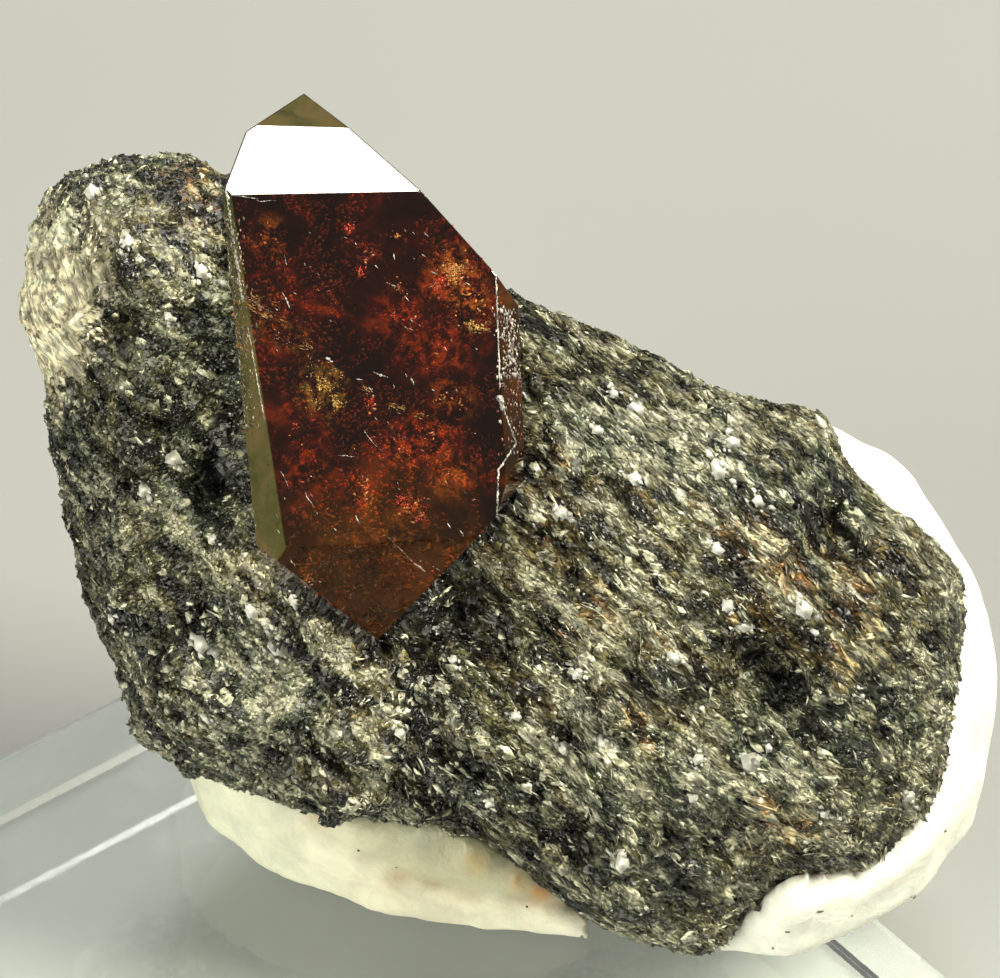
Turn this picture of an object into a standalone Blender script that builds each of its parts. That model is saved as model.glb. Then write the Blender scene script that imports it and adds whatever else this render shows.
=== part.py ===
"""A lump of biotite mica rock with a doubly ended zircon crystal grown in its face.

The rock is stuck with white putty on a square clear acrylic base, one corner of
which points back.  The rock is shaped lying down, in the plane of its display face
(x right, y up the face, z out of it, millimetres), and is then pitched up and set
on the base.  The origin is on the underside of the base, below the middle of all.
"""

import math
import random

import bmesh
import bpy
from mathutils import Matrix, Vector, noise

MILLIMETRE = 0.001

# Clear base: a square plate with one corner to the back.
BASE_SIDE = 31.75
BASE_THICK = 6.35
BASE_TURN = math.radians(38)
BASE_AT = Vector((-0.3, 0.0, BASE_THICK / 2))
BASE_BEVEL = 0.35

# The display face: where its own origin stands, and how far it is pitched up from flat.
FACE_AT = Vector((5.0, 8.2, 17.5))
FACE_PITCH = math.radians(49)

# Distance left between pieces that touch.
GAP = 0.3

# Rock: the outline of its display face, clockwise from the top of the left lobe.
ROCK_OUTLINE = [
    (-13.3, 14.0), (-10.7, 14.0), (-9.6, 13.1), (-3.5, 10.6), (1.1, 8.9), (3.9, 7.7),
    (7.5, 5.9), (11.3, 4.9), (11.8, 3.6), (13.1, 2.0), (14.9, 0.9), (16.1, -0.8),
    (15.9, -3.3), (15.5, -6.1), (15.2, -8.2), (12.9, -10.5), (10.0, -11.1), (8.3, -12.5),
    (7.3, -13.7), (4.8, -13.2), (2.5, -12.1), (0.7, -10.5), (-1.5, -9.2), (-6.1, -8.8),
    (-8.6, -8.0), (-12.5, -6.4), (-13.1, -4.1), (-14.2, -1.7), (-14.9, 0.9), (-15.6, 4.2),
    (-15.7, 6.0), (-16.7, 8.8), (-16.1, 11.9), (-15.4, 13.1),
]
ROCK_MIDDLE = Vector((-1.0, 0.0))
ROCK_FRONT = 5.4
ROCK_BACK = 6.6
ROCK_DOME = 0.62
ROUGH_SPAN = 4.5
ROUGH_FRONT = 0.9
ROUGH_BACK = 0.22
ROCK_SECTORS = 150
ROCK_RINGS = 26
ROCK_VOXEL = 0.13
ROCK_TRIANGLES = 6400

# Lumps (height above 0) and pits (below 0) of the face: x, y, height, radius.
ROCK_RELIEF = [
    (-13.0, 9.8, 2.6, 3.2),
    (-10.0, 4.6, -1.6, 1.9),
    (-9.4, 2.6, -1.8, 1.1),
    (-10.4, -3.6, 1.0, 3.0),
    (-1.4, -2.3, -2.4, 1.5),
    (2.4, 5.6, 1.3, 2.2),
    (7.2, -2.6, 1.2, 5.0),
    (9.3, -3.8, -2.7, 1.15),
    (11.3, 0.9, -2.1, 1.0),
    (5.2, -9.6, 1.0, 2.4),
    (11.4, -8.6, 0.8, 2.0),
]

# Mica: the sheets cut the face along lines that run down to the right.
SHEET_RUN = math.radians(-41)
SHEET_DIP = math.radians(38)
LEDGE_STEP = 1.9
LEDGE_RISE = 0.75
LEDGE_WAVER = 1.6
LEDGE_SPAN = 5.0
BOOKS_FRONT = 150
BOOKS_BACK = 110
BOOK_SIZE = (2.2, 5.2)
BOOK_THICK = (0.6, 1.3)
BOOK_LEAN = 0.28
BOOK_SUNK = 0.5

# Zircon: its middle in the frame of the face, how it leans, and its flat faces.
CRYSTAL_AT = Vector((-4.45, 6.55, 5.6))
CRYSTAL_LEAN = math.radians(2.2)
# A face is (turn about the long axis from the front, rise toward the top, distance).
CRYSTAL_FACES = {
    "front": (8, 0, 3.60),
    "front_left": (-49.1, -5.6, 5.49),
    "left": (-90, -3.2, 4.35),
    "back_left": (-130, 0, 4.80),
    "back": (188, 0, 3.50),
    "back_right": (135, 0, 4.90),
    "right": (92, 0, 5.08),
    "front_right": (53, 0, 5.38),
    "top_front": (8.9, 46.2, 6.74),
    "top_cap": (11.5, 60.4, 7.70),
    "top_left_low": (-90.9, 20.4, 6.45),
    "top_left_high": (-90.7, 56.3, 8.94),
    "top_right": (102, 39.7, 4.77),
    "top_right_edge": (50, 30.2, 6.12),
    "top_back": (188, 45, 7.60),
    "foot_front": (9.4, -47.9, 6.79),
    "foot_left": (-87.9, -50.1, 7.14),
    "foot_right": (93.9, -44.3, 6.42),
    "foot_right_edge": (78.6, -18.7, 6.06),
    "foot_back": (188, -47.8, 7.60),
}

CRYSTAL_BLOCK = 40.0

# Putty: a pressed lump between the base and the rock, its widest outline seen from
# above, in the frame of the whole part.
PUTTY_OUTLINE = [
    (-6.7, 10.0), (-5.7, 6.2), (-3.5, 3.6), (0.9, 1.5), (7.5, 0.2), (15.5, -0.6),
    (20.0, 2.2), (22.2, 6.8), (22.6, 11.4), (20.5, 16.8), (14.6, 19.3), (5.7, 19.0),
    (-0.8, 17.0), (-5.3, 14.0),
]
PUTTY_MIDDLE = Vector((7.9, 10.5))
PUTTY_HEIGHT = 13.2
PUTTY_TUCK = 0.5
PUTTY_WAIST = 2.2
PUTTY_SECTORS = 64
PUTTY_RINGS = 16
MOULD_VOXEL = 0.6
MOULD_TRIANGLES = 1800


def face_to_world():
    """Turn that pitches the display face up and sets it over the base."""
    return Matrix.Translation(FACE_AT) @ Matrix.Rotation(FACE_PITCH, 4, "X")


def clear_scene():
    for obj in list(bpy.data.objects):
        bpy.data.objects.remove(obj, do_unlink=True)


def plain_material(name, colour, roughness, transmission=0.0, ior=1.5):
    """A Principled material of one colour."""
    material = bpy.data.materials.new(name)
    material.use_nodes = True
    shader = material.node_tree.nodes["Principled BSDF"]
    shader.inputs["Base Color"].default_value = (*colour, 1.0)
    shader.inputs["Roughness"].default_value = roughness
    shader.inputs["Transmission Weight"].default_value = transmission
    shader.inputs["IOR"].default_value = ior
    return material


def object_from(name, shape, material=None):
    """Make an object in metres of a bmesh drawn in millimetres."""
    mesh = bpy.data.meshes.new(name)
    shape.transform(Matrix.Scale(MILLIMETRE, 4))
    bmesh.ops.recalc_face_normals(shape, faces=shape.faces)
    shape.to_mesh(mesh)
    shape.free()
    obj = bpy.data.objects.new(name, mesh)
    bpy.context.collection.objects.link(obj)
    if material:
        mesh.materials.append(material)
    return obj


def hide_cutter(obj):
    """Keep a cutter out of the model."""
    obj.hide_render = True
    obj.display_type = "WIRE"


def bake_modifiers(obj):
    """Put the evaluated mesh of an object in place of its modifiers."""
    graph = bpy.context.evaluated_depsgraph_get()
    mesh = bpy.data.meshes.new_from_object(obj.evaluated_get(graph))
    obj.modifiers.clear()
    obj.data = mesh


def remesh(obj, voxel):
    """Fuse all the bodies of an object in one skin."""
    modifier = obj.modifiers.new("Fuse", "REMESH")
    modifier.mode = "VOXEL"
    modifier.voxel_size = voxel * MILLIMETRE
    bake_modifiers(obj)


def reduce_to(obj, triangles):
    """Thin the mesh of an object out to about a number of triangles."""
    count = sum(len(face.vertices) - 2 for face in obj.data.polygons)
    modifier = obj.modifiers.new("Thin", "DECIMATE")
    modifier.ratio = min(1.0, triangles / count)
    modifier.use_collapse_triangulate = True
    bake_modifiers(obj)


def rest_on(obj, level):
    """Flatten whatever of an object would reach below a level."""
    for vert in obj.data.vertices:
        vert.co.z = max(vert.co.z, level * MILLIMETRE)


def cut_with(obj, cutter):
    """Cut a solid away from an object, with the exact solver."""
    modifier = obj.modifiers.new("Cut", "BOOLEAN")
    modifier.operation = "DIFFERENCE"
    modifier.solver = "EXACT"
    modifier.object = cutter
    bake_modifiers(obj)


def keep_largest_body(obj):
    """Drop crumbs that a cut or a fusion has left loose."""
    shape = bmesh.new()
    shape.from_mesh(obj.data)
    unseen = set(shape.verts)
    bodies = []
    while unseen:
        body = {unseen.pop()}
        edge_of_body = list(body)
        while edge_of_body:
            vert = edge_of_body.pop()
            for edge in vert.link_edges:
                other = edge.other_vert(vert)
                if other in unseen:
                    unseen.remove(other)
                    body.add(other)
                    edge_of_body.append(other)
        bodies.append(body)
    bodies.sort(key=len)
    crumbs = [vert for body in bodies[:-1] for vert in body]
    bmesh.ops.delete(shape, geom=crumbs, context="VERTS")
    bmesh.ops.triangulate(shape, faces=shape.faces)
    shape.to_mesh(obj.data)
    shape.free()


# Base -----------------------------------------------------------------------------


def make_base():
    """The square acrylic plate, its edges slightly rounded."""
    shape = bmesh.new()
    size = Matrix.Diagonal((BASE_SIDE, BASE_SIDE, BASE_THICK, 1.0))
    place = Matrix.Translation(BASE_AT) @ Matrix.Rotation(BASE_TURN, 4, "Z")
    bmesh.ops.create_cube(shape, size=1.0, matrix=place @ size)
    acrylic = plain_material("clear_acrylic", (0.93, 0.97, 0.95), 0.05, 1.0, 1.49)
    obj = object_from("acrylic_base", shape, acrylic)
    bevel = obj.modifiers.new("Edges", "BEVEL")
    bevel.width = BASE_BEVEL * MILLIMETRE
    bevel.segments = 2
    return obj


# Zircon ---------------------------------------------------------------------------


def crystal_to_face():
    """Turn and place of the crystal in the frame of the rock's face."""
    return Matrix.Translation(CRYSTAL_AT) @ Matrix.Rotation(CRYSTAL_LEAN, 4, "Z")


def facet_normal(turn, rise):
    """Direction of a crystal face: x right, y along the crystal, z to the front."""
    turn, rise = math.radians(turn), math.radians(rise)
    level = math.cos(rise)
    return Vector((level * math.sin(turn), math.sin(rise), level * math.cos(turn)))


def crystal_shape(skin):
    """The crystal cut from a block by its faces, each moved out by a skin."""
    shape = bmesh.new()
    bmesh.ops.create_cube(shape, size=CRYSTAL_BLOCK)
    for turn, rise, distance in CRYSTAL_FACES.values():
        normal = facet_normal(turn, rise)
        everything = shape.verts[:] + shape.edges[:] + shape.faces[:]
        cut = bmesh.ops.bisect_plane(
            shape, geom=everything, plane_co=normal * (distance + skin), plane_no=normal,
            clear_outer=True,
        )
        rim = [item for item in cut["geom_cut"] if isinstance(item, bmesh.types.BMEdge)]
        if rim:
            bmesh.ops.contextual_create(shape, geom=rim)
    bmesh.ops.remove_doubles(shape, verts=shape.verts, dist=0.02)
    shape.transform(face_to_world() @ crystal_to_face())
    return shape


def make_crystal():
    zircon = plain_material("red_zircon", (0.20, 0.03, 0.015), 0.08)
    return object_from("zircon_crystal", crystal_shape(0.0), zircon)


# Rock -----------------------------------------------------------------------------


def reach_of(outline, middle, angle):
    """Distance from a middle to a closed outline, in one direction."""
    heading = Vector((math.cos(angle), math.sin(angle)))
    best = 0.0
    for index, corner in enumerate(outline):
        start = Vector(corner) - middle
        side = Vector(outline[(index + 1) % len(outline)]) - middle - start
        across = heading.cross(side)
        if abs(across) < 1e-9:
            continue
        reach = start.cross(side) / across
        share = start.cross(heading) / across
        if reach > 0 and 0 <= share <= 1:
            best = max(best, reach)
    return best


def sheet_normal():
    """Direction square to the mica sheets."""
    return Vector((
        -math.sin(SHEET_RUN) * math.cos(SHEET_DIP),
        math.cos(SHEET_RUN) * math.cos(SHEET_DIP),
        math.sin(SHEET_DIP),
    ))


def ledge(point):
    """Saw-tooth steps where the mica sheets break off, fading in and out."""
    waver = noise.noise(point / LEDGE_SPAN)
    along = point.dot(sheet_normal()) / LEDGE_STEP + LEDGE_WAVER * waver
    strength = 0.55 + 0.9 * noise.noise(point / LEDGE_SPAN + Vector((7, 3, 1)))
    return LEDGE_RISE * max(0.0, strength) * (along - math.floor(along) - 0.5)


def relief(x, y):
    """Height of the lumps and pits of the face at a place."""
    total = 0.0
    for centre_x, centre_y, height, radius in ROCK_RELIEF:
        away = ((x - centre_x) ** 2 + (y - centre_y) ** 2) / radius ** 2
        total += height * math.exp(-away)
    return total


def rock_point(angle, share, side):
    """A point of the rock: share 0 is the middle of the face and 1 its rim."""
    reach = reach_of(ROCK_OUTLINE, ROCK_MIDDLE, angle)
    flat = ROCK_MIDDLE + share * reach * Vector((math.cos(angle), math.sin(angle)))
    dome = (1.0 - share ** 3) ** ROCK_DOME
    rough = noise.fractal(Vector((flat.x, flat.y, side * 9.0)) / ROUGH_SPAN, 0.9, 2.0, 4)
    if side > 0:
        height = relief(flat.x, flat.y) + ROUGH_FRONT * rough
        height = ROCK_FRONT * dome + dome ** 0.5 * height
    else:
        height = -ROCK_BACK * dome * (1.0 + ROUGH_BACK * rough)
    point = Vector((flat.x, flat.y, height))
    point.z += dome ** 0.5 * ledge(point)
    return point


def rock_blank():
    """The lump without its mica books: two domed skins that meet at the rim."""
    shape = bmesh.new()
    angles = [math.tau * step / ROCK_SECTORS for step in range(ROCK_SECTORS)]
    rim = [shape.verts.new(rock_point(angle, 1.0, 1)) for angle in angles]
    for side in (1, -1):
        outer = rim
        for ring in range(ROCK_RINGS - 1, 0, -1):
            share = ring / ROCK_RINGS
            inner = [shape.verts.new(rock_point(angle, share, side)) for angle in angles]
            for step in range(ROCK_SECTORS):
                after = (step + 1) % ROCK_SECTORS
                shape.faces.new((outer[step], outer[after], inner[after], inner[step]))
            outer = inner
        middle = shape.verts.new(rock_point(0.0, 0.0, side))
        for step in range(ROCK_SECTORS):
            shape.faces.new((outer[step], outer[(step + 1) % ROCK_SECTORS], middle))
    return shape


def add_book(shape, centre, normal, size, thick, draw):
    """A mica book: a thin plate with five to seven uneven corners."""
    tilt = normal.to_track_quat("Z", "X").to_matrix().to_4x4()
    place = Matrix.Translation(centre) @ tilt
    corners = draw.randint(5, 7)
    stretch = draw.uniform(1.0, 1.7)
    start = draw.uniform(0, math.tau)
    layers = []
    for level in (-thick / 2, thick / 2):
        layer = []
        for corner in range(corners):
            angle = start + math.tau * corner / corners
            reach = size * (0.8 + 0.2 * math.sin(3.1 * corner + start))
            flat = Vector((stretch * reach * math.cos(angle), reach * math.sin(angle), level))
            layer.append(shape.verts.new(place @ flat))
        layers.append(layer)
    shape.faces.new(layers[0][::-1])
    shape.faces.new(layers[1])
    for corner in range(corners):
        after = (corner + 1) % corners
        lower, upper = layers
        shape.faces.new((lower[corner], lower[after], upper[after], upper[corner]))


def add_books(shape, count, side, draw):
    """Strew mica books over one side of the rock, nearly all along the sheets."""
    for _ in range(count):
        share = math.sqrt(draw.uniform(0.02, 0.93))
        centre = rock_point(draw.uniform(0, math.tau), share, side)
        lean = Vector([draw.uniform(-BOOK_LEAN, BOOK_LEAN) for _ in range(3)])
        size = draw.uniform(*BOOK_SIZE) / 2 * min(1.0, 0.2 + 3.4 * (1.0 - share))
        centre.z -= side * BOOK_SUNK * size
        thick = draw.uniform(*BOOK_THICK)
        add_book(shape, centre, sheet_normal() + lean, size, thick, draw)


def make_rock():
    """The biotite rock, with a socket that the crystal sits in."""
    draw = random.Random(41)
    shape = rock_blank()
    add_books(shape, BOOKS_FRONT, 1, draw)
    add_books(shape, BOOKS_BACK, -1, draw)
    shape.transform(face_to_world())
    biotite = plain_material("black_biotite", (0.035, 0.035, 0.028), 0.35)
    rock = object_from("biotite_rock", shape, biotite)
    remesh(rock, ROCK_VOXEL)
    rest_on(rock, BASE_THICK + GAP)
    reduce_to(rock, ROCK_TRIANGLES)
    socket = object_from("socket_cutter", crystal_shape(GAP))
    hide_cutter(socket)
    cut_with(rock, socket)
    keep_largest_body(rock)
    return rock


# Putty ----------------------------------------------------------------------------


def putty_point(angle, share):
    """A point of the putty's skin: share 0 is the top and 1 the foot."""
    heading = Vector((math.cos(angle), math.sin(angle)))
    lump = 1.0 + 0.03 * noise.noise(Vector((heading.x, heading.y, 2 * share)) * 1.6)
    turn = share * math.pi / 2
    height = PUTTY_HEIGHT * math.cos(turn) ** 0.75
    tuck = PUTTY_TUCK * max(0.0, 1.0 - height / PUTTY_WAIST) ** 1.6
    reach = reach_of(PUTTY_OUTLINE, PUTTY_MIDDLE, angle) * math.sin(turn) ** 0.72 * lump - tuck
    flat = PUTTY_MIDDLE + reach * heading
    return Vector((flat.x, flat.y, BASE_THICK + GAP + height))


def putty_blank():
    """The lump of putty with its flat foot, before the rock is pressed in."""
    shape = bmesh.new()
    angles = [math.tau * step / PUTTY_SECTORS for step in range(PUTTY_SECTORS)]
    top = shape.verts.new(putty_point(0.0, 0.0))
    inner = None
    for ring in range(1, PUTTY_RINGS + 1):
        share = ring / PUTTY_RINGS
        outer = [shape.verts.new(putty_point(angle, share)) for angle in angles]
        for step in range(PUTTY_SECTORS):
            after = (step + 1) % PUTTY_SECTORS
            if inner is None:
                shape.faces.new((top, outer[step], outer[after]))
            else:
                shape.faces.new((inner[step], outer[step], outer[after], inner[after]))
        inner = outer
    shape.faces.new(inner)
    return shape


def make_putty(rock):
    """The white putty, moulded to the underside of the rock."""
    clay = plain_material("white_putty", (0.82, 0.80, 0.74), 0.6)
    putty = object_from("putty", putty_blank(), clay)
    mould = rock.copy()
    mould.data = rock.data.copy()
    mould.name = "rock_mould_cutter"
    bpy.context.collection.objects.link(mould)
    hide_cutter(mould)
    swell = mould.modifiers.new("Swell", "DISPLACE")
    swell.mid_level = 0.0
    swell.strength = 2 * GAP * MILLIMETRE
    remesh(mould, MOULD_VOXEL)
    reduce_to(mould, MOULD_TRIANGLES)
    cut_with(putty, mould)
    keep_largest_body(putty)
    return putty


def main():
    clear_scene()
    make_base()
    make_crystal()
    rock = make_rock()
    make_putty(rock)


main()
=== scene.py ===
import math

import bmesh
import bpy
import numpy as np
from mathutils import Matrix, Vector, noise
from mathutils.bvhtree import BVHTree


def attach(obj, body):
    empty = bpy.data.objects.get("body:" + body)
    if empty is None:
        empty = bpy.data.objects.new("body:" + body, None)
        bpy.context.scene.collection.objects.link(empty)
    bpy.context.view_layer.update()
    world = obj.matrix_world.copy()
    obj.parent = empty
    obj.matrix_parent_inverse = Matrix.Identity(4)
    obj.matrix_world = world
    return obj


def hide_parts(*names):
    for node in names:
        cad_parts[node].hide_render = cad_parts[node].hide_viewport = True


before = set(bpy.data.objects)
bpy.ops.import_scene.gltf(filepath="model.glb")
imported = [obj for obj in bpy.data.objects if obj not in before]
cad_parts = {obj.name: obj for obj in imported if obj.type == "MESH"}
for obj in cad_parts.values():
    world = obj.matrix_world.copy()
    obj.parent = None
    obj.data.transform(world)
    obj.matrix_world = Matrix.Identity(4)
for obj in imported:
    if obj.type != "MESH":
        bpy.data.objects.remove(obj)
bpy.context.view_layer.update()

# Lengths below are in millimetres, unless a comment says otherwise.
MM = 0.001

# The display face of the rock: its origin in the frame, and its pitch up from flat.
FACE_AT = Vector((5.0, 8.2, 17.5))
FACE_PITCH = math.radians(49)
FACE = Matrix.Translation(FACE_AT) @ Matrix.Rotation(FACE_PITCH, 4, "X")
FACE_TURN = Matrix.Rotation(-FACE_PITCH, 3, "X")
FACE_SHIFT = -(FACE_TURN @ FACE_AT)

# Mica sheets: the lines they make on the face, and how they dip into it.
SHEET_RUN = math.radians(-41)
SHEET_DIP = math.radians(38)

BASE_THICK = 6.35
BASE_TURN = math.radians(38)

# The crystal's upper front face, as in the source of the part: its turn, rise and lean.
TOP_FACE_TURN = math.radians(8.9)
TOP_FACE_RISE = math.radians(46.2)
CRYSTAL_LEAN = math.radians(2.2)

# Camera: it looks square at the display face.
VIEW_CENTRE = Vector((0.0, 2.45, 0.0))
VIEW_DISTANCE = 450.0
VIEW_WIDTH = 34.5

# Studio, in metres and watts.
KEY_DIRECTION = (0.62, -0.12, 0.80)
SKY_COLOUR = (1.0, 1.0, 0.97, 1.0)
SKY_LIGHT = 0.16
FLOOR_REACH = 1.5
FLOOR_DROP = 0.0001

# A height above all that stands on the display face, where lines of sight start.
SIGHT_START = 30

# The rock's skin: its mesh, how far its stubs and layers stand up, and its pits.
SKIN_VOXEL = 0.195
SKIN_SMOOTHING = 8
BROAD_SMOOTHING = 30
STUB_HEIGHT = 0.12
LAYERS = [(0.20, (0.5, 0.6, 3.2)), (0.14, (1.5, 1.7, 6.0)), (0.12, (0.8, 0.8, 0.8))]
PIT_DEPTH = 0.8
ROCK_OVER_BASE = 0.02
# The skin is drawn to the crystal from the first height over it, and fully at the second.
HUG_START, HUG_FULL, HUG_DEPTH = 0.55, 0.30, 0.03

# Flakes: half their width, and the longest half length.
FLAKE_SETS = 5
FLAKES_PER_SET = 17500
FLAKE_SIZE = 0.098
FLAKE_RANGE = (0.035, 0.30)
STANDING_SIZE = 0.13
BLADE_SIZE = (0.020, 0.042)
LONGEST_REACH = 0.42
FLAKE_THICK = (0.02, 0.05)
SHARDS = 9

# The putty: its mesh, how it is pressed into rock near it, its rounded foot and its crease.
PUTTY_VOXEL = 0.32
PUTTY_SMOOTHING = 4
PRESS_REACH, PRESS_FULL, PRESS_DEPTH = 1.8, 1.3, 0.15
FOOT_HEIGHT = 0.9
PUTTY_OVER_BASE = 0.01
CREASE_MIDDLE, CREASE_HALF, CREASE_WIDTH, CREASE_DEPTH = -1.5, 5.5, 0.30, 0.28
CRUMBS_AT_RANDOM = 18

# The zircon: its worn edges, its flecks, and the painted glows wide enough to colour its clouds.
EDGE_WEAR = 0.05
FLECK_THICK = 0.02
CLOUD_FLECKS, FOOT_FLECKS, CRACK_FLECKS, FINE_SCRATCHES = 8000, 700, 1900, 60
WIDE_GLOW, GLOW_SPREAD = 0.38, 1.3
# What it absorbs, as the colour left over and a density per metre.
ABSORPTION = {"Color": (0.72, 0.18, 0.04), "Density": 560.0}

# How much each material bends light. The foot of the zircon has a lower value, because
# strong mirroring would hide its colour from the camera.
MICA_IOR, ACRYLIC_IOR, ZIRCON_IOR, FOOT_IOR = 1.85, 1.49, 1.92, 1.35

# Hues of the mica, each for a lightness of 1.
OLIVE = np.array((1.08, 1.02, 0.46))
GREY_GREEN = np.array((0.92, 1.06, 0.62))
OCHRE = np.array((1.50, 0.95, 0.24))
BROWN = np.array((1.75, 0.82, 0.22))
CREAM = np.array((1.04, 1.01, 0.70))
# Colours of the cream flank, the band beside it, the painted glint highlights, the big flakes'
# painted highlight and the crumbs.
FLANK_CREAM = np.array((0.97, 0.87, 0.58))
BAND_OLIVE = np.array((0.34, 0.31, 0.17))
GLINT = np.array((0.88, 0.86, 0.62))
PAINTED_PLATE_HIGHLIGHT = np.array((0.82, 0.81, 0.72))
CRUMB = np.array((0.09, 0.085, 0.05))

# Places on the display face, as (x, y, reach).
# Pits: sunk into the rock's skin, and their mica darkened as painted shade.
PITS = [
    (8.7, -3.3, 0.9), (9.7, -4.2, 0.85), (10.5, -5.9, 0.6), (11.0, 1.3, 0.75), (11.6, 0.4, 0.7),
    (-1.2, -1.9, 1.3), (0.4, -2.6, 0.8), (-2.3, -2.7, 0.7), (-6.4, -1.2, 0.5), (-5.4, -1.9, 0.6),
    (-4.3, -2.8, 0.6), (-9.7, 3.1, 1.1), (-9.4, 4.6, 0.8), (-12.6, 7.6, 0.6), (-13.5, 6.3, 0.7),
    (5.9, -9.8, 0.9), (2.0, -9.2, 0.7), (8.1, -5.6, 0.5),
]
# Spots where the mica is painted lighter and thick with pale flakes, as painted highlights.
GLINT_SPOTS = [
    (-7.8, -2.1, 1.5), (8.6, -7.1, 1.0), (-10.4, -5.4, 1.9), (4.4, -1.6, 1.3), (3.6, -6.4, 1.2),
    (6.6, 4.0, 1.3), (3.4, 4.6, 1.2), (-11.5, 10.9, 0.9), (0.9, 2.1, 0.8), (-6.0, -2.6, 0.8),
]
PALE = [(-12.4, 10.6, 3.0), (-14.6, 1.0, 2.0), (-6.0, -5.6, 3.4), (-13.6, -2.6, 2.0)]
RUST = [
    (1.4, 3.1, 0.8), (1.9, 0.7, 0.8), (5.7, 0.0, 0.7), (3.5, -1.9, 0.8), (8.4, 0.7, 0.9),
    (9.6, -0.4, 0.9), (4.5, -5.0, 0.5), (4.9, -6.0, 0.45), (-10.6, 13.0, 0.8), (-9.9, 12.1, 0.7),
    (12.0, -1.6, 1.0), (11.6, -3.4, 0.7), (9.0, -8.6, 0.7), (10.2, -9.4, 0.7), (2.6, -2.2, 0.6),
    (-8.9, 10.2, 0.5),
]
# The cream flank, and the line and half width of the olive band beside it.
CREAM_AT = (-15.7, 8.9)
CREAM_REACH = (1.9, 3.0)
OLIVE_BAND = [(-14.0, 12.6), (-13.5, 11.2), (-13.8, 9.2), (-14.7, 6.6)]
BAND_REACH = 0.45
# Bigger flakes that face the light, painted pale as a highlight too, as (x, y, reach).
BRIGHT_FLAKES = [
    (8.35, -2.2, 0.42), (7.75, -1.55, 0.26), (10.35, -1.65, 0.4), (2.62, -3.85, 0.26),
    (3.62, -6.2, 0.34), (2.2, -6.4, 0.28), (6.75, -6.75, 0.26), (8.5, -6.9, 0.45),
    (11.1, -8.65, 0.28), (6.55, -8.1, 0.24), (4.15, -10.3, 0.38), (4.65, 5.15, 0.3),
    (3.9, 5.7, 0.22), (4.6, 2.75, 0.32), (3.3, 4.45, 0.26), (7.45, 3.1, 0.36), (7.95, 4.0, 0.3),
    (2.07, 1.66, 0.3), (7.4, 0.35, 0.26), (8.8, 2.05, 0.28), (-11.2, 3.5, 0.34), (-12.2, 2.4, 0.3),
    (-9.85, 0.7, 0.22), (-10.2, -2.9, 0.4), (-8.45, -1.75, 0.26), (-13.3, -2.0, 0.24),
    (-14.0, 12.6, 0.3), (-12.7, 10.8, 0.24), (-10.2, 9.8, 0.3), (-1.6, -3.4, 0.22),
    (14.0, -8.1, 0.28), (-10.0, -5.4, 0.24), (-0.4, -8.3, 0.22), (-7.6, -3.0, 0.36),
    (-7.0, -1.4, 0.3), (5.9, -3.3, 0.24), (12.3, -4.6, 0.22), (-3.4, -5.9, 0.24), (0.5, -5.3, 0.22),
    (-11.3, 8.3, 0.24),
]
# Tints of the zircon's flecks, with the painted glow each gives and its share flush with the face.
RED = (0.95, 0.30, 0.12)
ORANGE = (0.90, 0.32, 0.06)
GOLD = (0.90, 0.54, 0.13)
HOT = (0.80, 0.050, 0.012)
DULL = (0.50, 0.22, 0.06)
GLOW_COLOURS = {RED: (0.75, 0.09, 0.015), ORANGE: (0.95, 0.24, 0.03), GOLD: (0.9, 0.52, 0.09),
                HOT: (1.0, 0.12, 0.01), DULL: (0.3, 0.11, 0.02)}
ON_SURFACE = {RED: 0.2, ORANGE: 0.55, GOLD: 0.45, HOT: 0.6, DULL: 0.1}
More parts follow.
